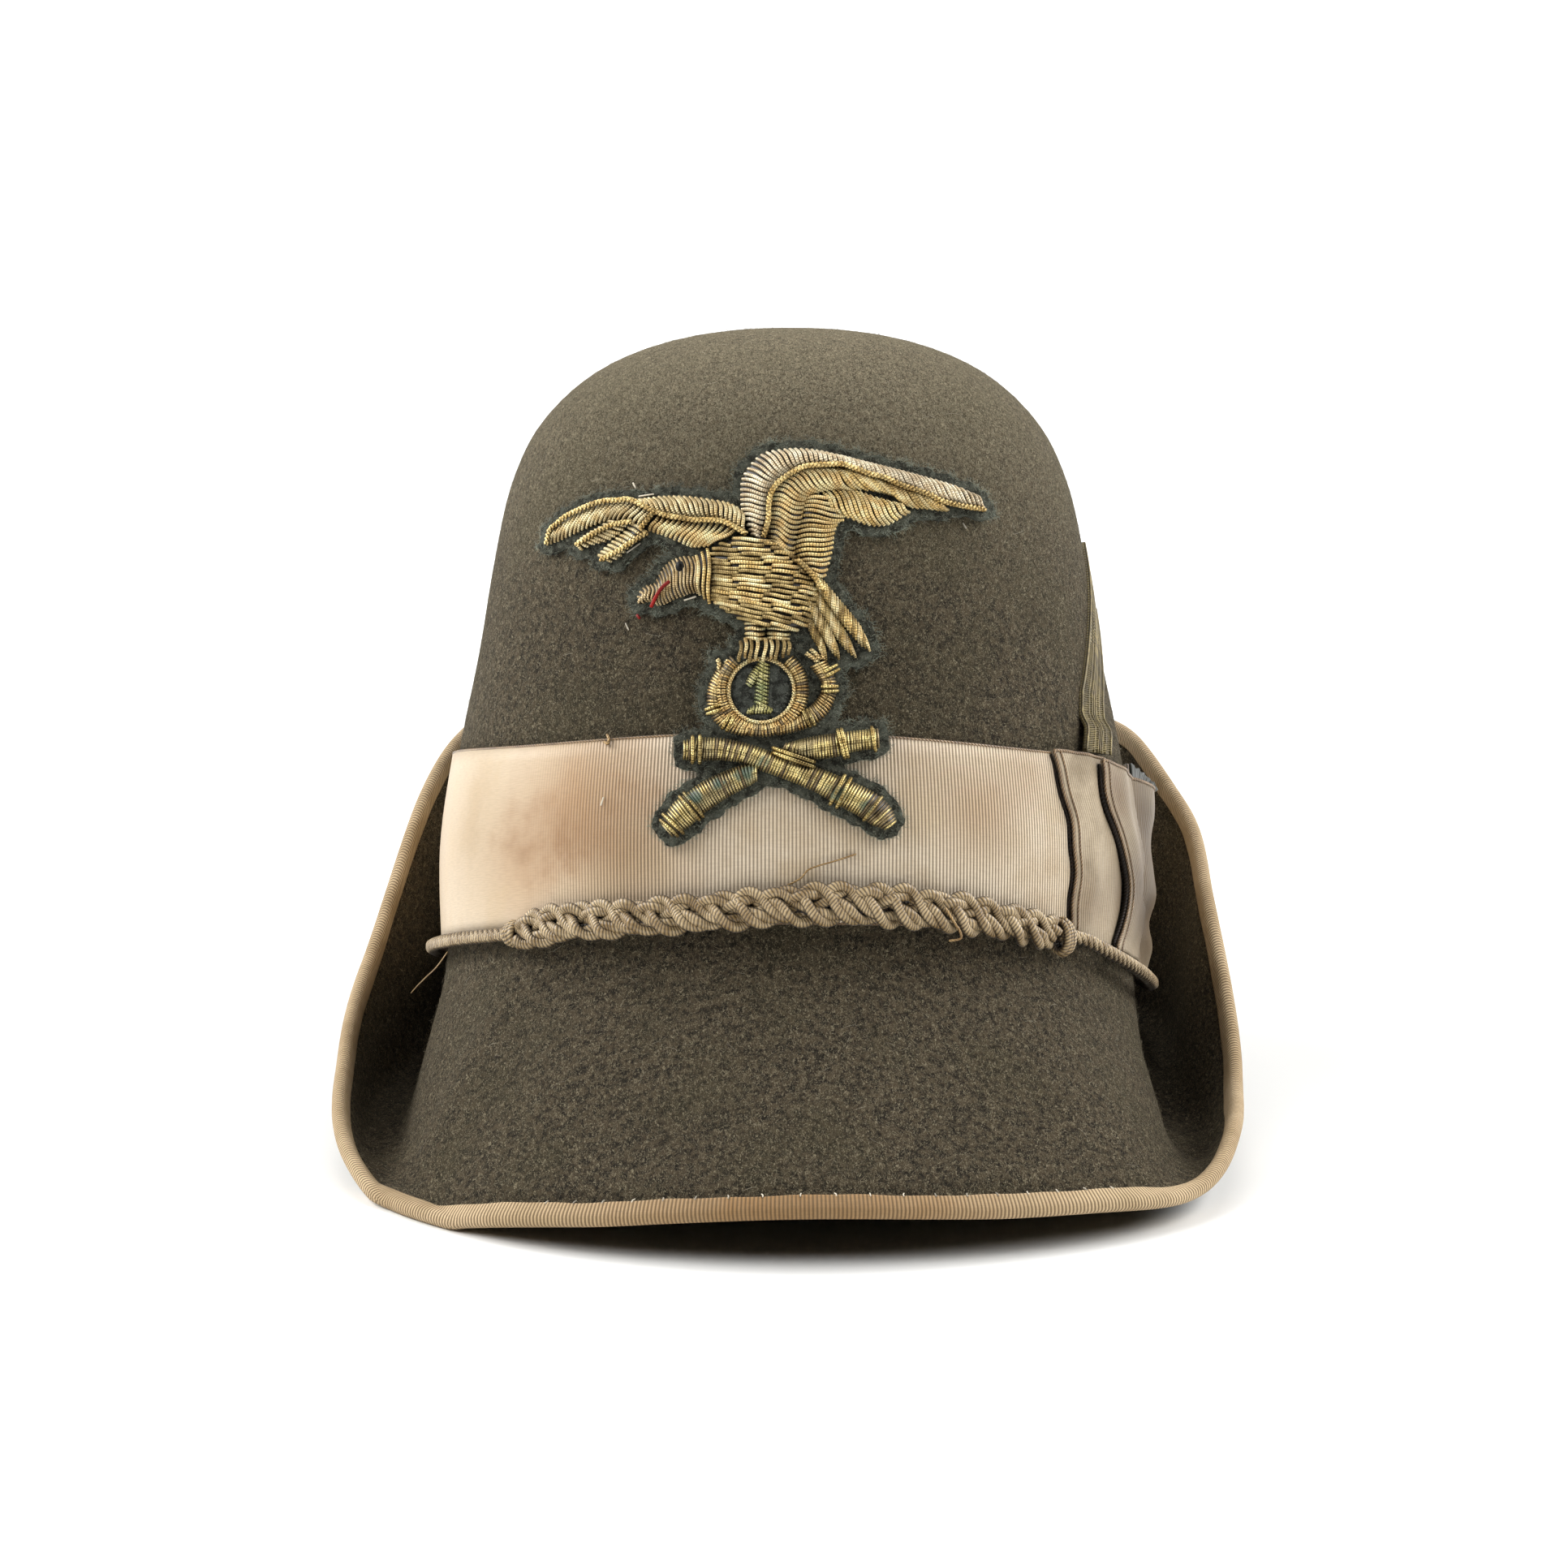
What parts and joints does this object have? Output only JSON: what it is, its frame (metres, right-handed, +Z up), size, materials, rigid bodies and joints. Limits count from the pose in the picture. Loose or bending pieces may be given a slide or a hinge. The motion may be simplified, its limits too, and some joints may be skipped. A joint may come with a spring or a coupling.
{
  "type": "mountain troops' felt hat",
  "caption": "Mountain troops' felt hat with ribbon band, plaited cord, rank lace and an embroidered eagle badge, leaning back on its turned-up brim.",
  "frame": {"origin": "on the table under the middle of the hat's bounding box", "axes": "+X to the wearer's left, +Y to the back of the hat, +Z up from the table it rests on"},
  "size_m": [0.215, 0.2938, 0.1869],
  "materials": {
    "wool_felt": "grey-green heathered wool and hair felt, matt, short pale hairs",
    "binding_ribbon": "beige-brown ribbed ribbon",
    "band_ribbon": "faded beige ribbed silk ribbon with brown stains",
    "lining_cloth": "teal-grey thin cloth, torn",
    "cord": "brown-beige silky cord",
    "metal_lace": "woven lace of tarnished gold thread",
    "badge_felt": "dark grey-green felt with a cut, fuzzy edge",
    "bullion_wire": "coiled gilt wire, tarnished, green in places",
    "disc_cloth": "blue-black felt"
  },
  "bodies": {
    "root": {"felt_body": "wool_felt", "brim_binding": "binding_ribbon", "hat_band": "band_ribbon", "pleat_1": "band_ribbon", "pleat_2": "band_ribbon", "pleat_3": "band_ribbon", "lining_scrap": "lining_cloth", "front_plait": "cord", "plait_wrap": "cord", "plait_knot": "cord", "side_cord": "cord", "rank_lace": "metal_lace", "badge_backing": "badge_felt", "eagle_embroidery": "bullion_wire", "horn_coil": "bullion_wire", "number_disc": "disc_cloth", "numeral": "bullion_wire", "barrel_front": "bullion_wire", "barrel_rear_upper": "bullion_wire", "barrel_rear_lower": "bullion_wire"}
  },
  "joints": []
}
